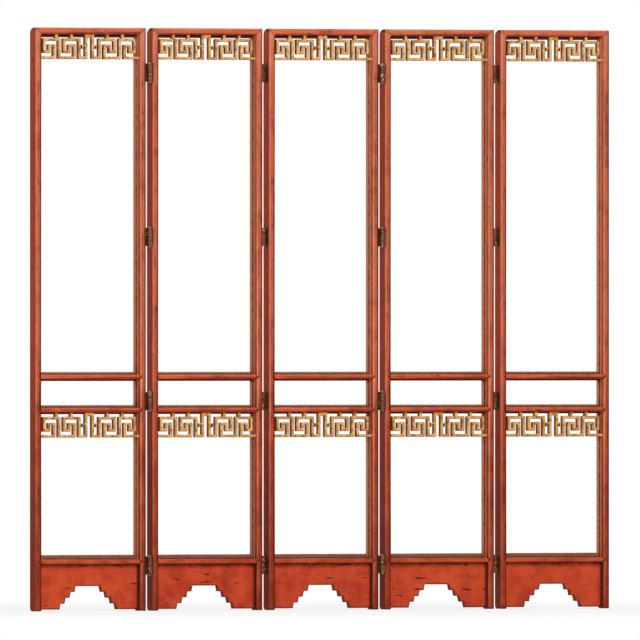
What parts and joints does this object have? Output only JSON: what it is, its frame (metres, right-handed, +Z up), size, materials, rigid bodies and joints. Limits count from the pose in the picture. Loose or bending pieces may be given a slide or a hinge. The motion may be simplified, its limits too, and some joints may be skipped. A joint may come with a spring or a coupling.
{
  "type": "folding screen",
  "caption": "Folding floor screen of tall open frames in worn red lacquer, with gilded key frets and stepped aprons, on pinned hinges that fold it like an accordion.",
  "frame": {"origin": "on the floor, under the middle of the box that holds the open screen", "axes": "+X along the open screen from the first panel to the fifth, -Y towards the front, +Z up"},
  "size_m": [2.066, 0.054, 1.83],
  "materials": {
    "red_lacquer": "worn red lacquer on wood, satin, rubbed dark at the edges",
    "gilding": "worn gilding on carved wood over umber ground",
    "aged_bronze": "darkened bronze with rubbed bright spots",
    "pin_bronze": "polished where it turns, dull elsewhere",
    "screw_bronze": "dull dark screw heads"
  },
  "bodies": {
    "panel_1": {"panel_1_left_stile": "red_lacquer", "panel_1_right_stile": "red_lacquer", "panel_1_top_rail": "red_lacquer", "panel_1_mid_rails": "red_lacquer", "panel_1_bottom_rail": "red_lacquer", "panel_1_apron": "red_lacquer", "panel_1_upper_fret": "gilding", "panel_1_lower_fret": "gilding", "panel_1_hinge_screws": "screw_bronze", "hinge_12_left_leaves": "aged_bronze"},
    "panel_2": {"panel_2_left_stile": "red_lacquer", "panel_2_right_stile": "red_lacquer", "panel_2_top_rail": "red_lacquer", "panel_2_mid_rails": "red_lacquer", "panel_2_bottom_rail": "red_lacquer", "panel_2_apron": "red_lacquer", "panel_2_upper_fret": "gilding", "panel_2_lower_fret": "gilding", "panel_2_hinge_screws": "screw_bronze", "hinge_12_right_leaves": "aged_bronze", "hinge_12_pins": "pin_bronze", "hinge_23_left_leaves": "aged_bronze"},
    "panel_3": {"panel_3_left_stile": "red_lacquer", "panel_3_right_stile": "red_lacquer", "panel_3_top_rail": "red_lacquer", "panel_3_mid_rails": "red_lacquer", "panel_3_bottom_rail": "red_lacquer", "panel_3_apron": "red_lacquer", "panel_3_upper_fret": "gilding", "panel_3_lower_fret": "gilding", "panel_3_hinge_screws": "screw_bronze", "hinge_23_right_leaves": "aged_bronze", "hinge_23_pins": "pin_bronze", "hinge_34_left_leaves": "aged_bronze"},
    "panel_4": {"panel_4_left_stile": "red_lacquer", "panel_4_right_stile": "red_lacquer", "panel_4_top_rail": "red_lacquer", "panel_4_mid_rails": "red_lacquer", "panel_4_bottom_rail": "red_lacquer", "panel_4_apron": "red_lacquer", "panel_4_upper_fret": "gilding", "panel_4_lower_fret": "gilding", "panel_4_hinge_screws": "screw_bronze", "hinge_34_right_leaves": "aged_bronze", "hinge_34_pins": "pin_bronze", "hinge_45_left_leaves": "aged_bronze"},
    "panel_5": {"panel_5_left_stile": "red_lacquer", "panel_5_right_stile": "red_lacquer", "panel_5_top_rail": "red_lacquer", "panel_5_mid_rails": "red_lacquer", "panel_5_bottom_rail": "red_lacquer", "panel_5_apron": "red_lacquer", "panel_5_upper_fret": "gilding", "panel_5_lower_fret": "gilding", "panel_5_hinge_screws": "screw_bronze", "hinge_45_right_leaves": "aged_bronze", "hinge_45_pins": "pin_bronze"}
  },
  "joints": [
    {"name": "fold_12", "type": "hinge", "parent": "panel_2", "child": "panel_1", "pos_m": [-0.627, -0.0205, 0.916], "axis": [0, 0, 1], "range_deg": [0, 178]},
    {"name": "fold_23", "type": "hinge", "parent": "panel_3", "child": "panel_2", "pos_m": [-0.209, 0.0205, 0.916], "axis": [0, 0, -1], "range_deg": [0, 170]},
    {"name": "fold_34", "type": "hinge", "parent": "panel_3", "child": "panel_4", "pos_m": [0.209, -0.0205, 0.916], "axis": [0, 0, -1], "range_deg": [0, 170]},
    {"name": "fold_45", "type": "hinge", "parent": "panel_4", "child": "panel_5", "pos_m": [0.627, 0.0205, 0.916], "axis": [0, 0, 1], "range_deg": [0, 178]}
  ]
}
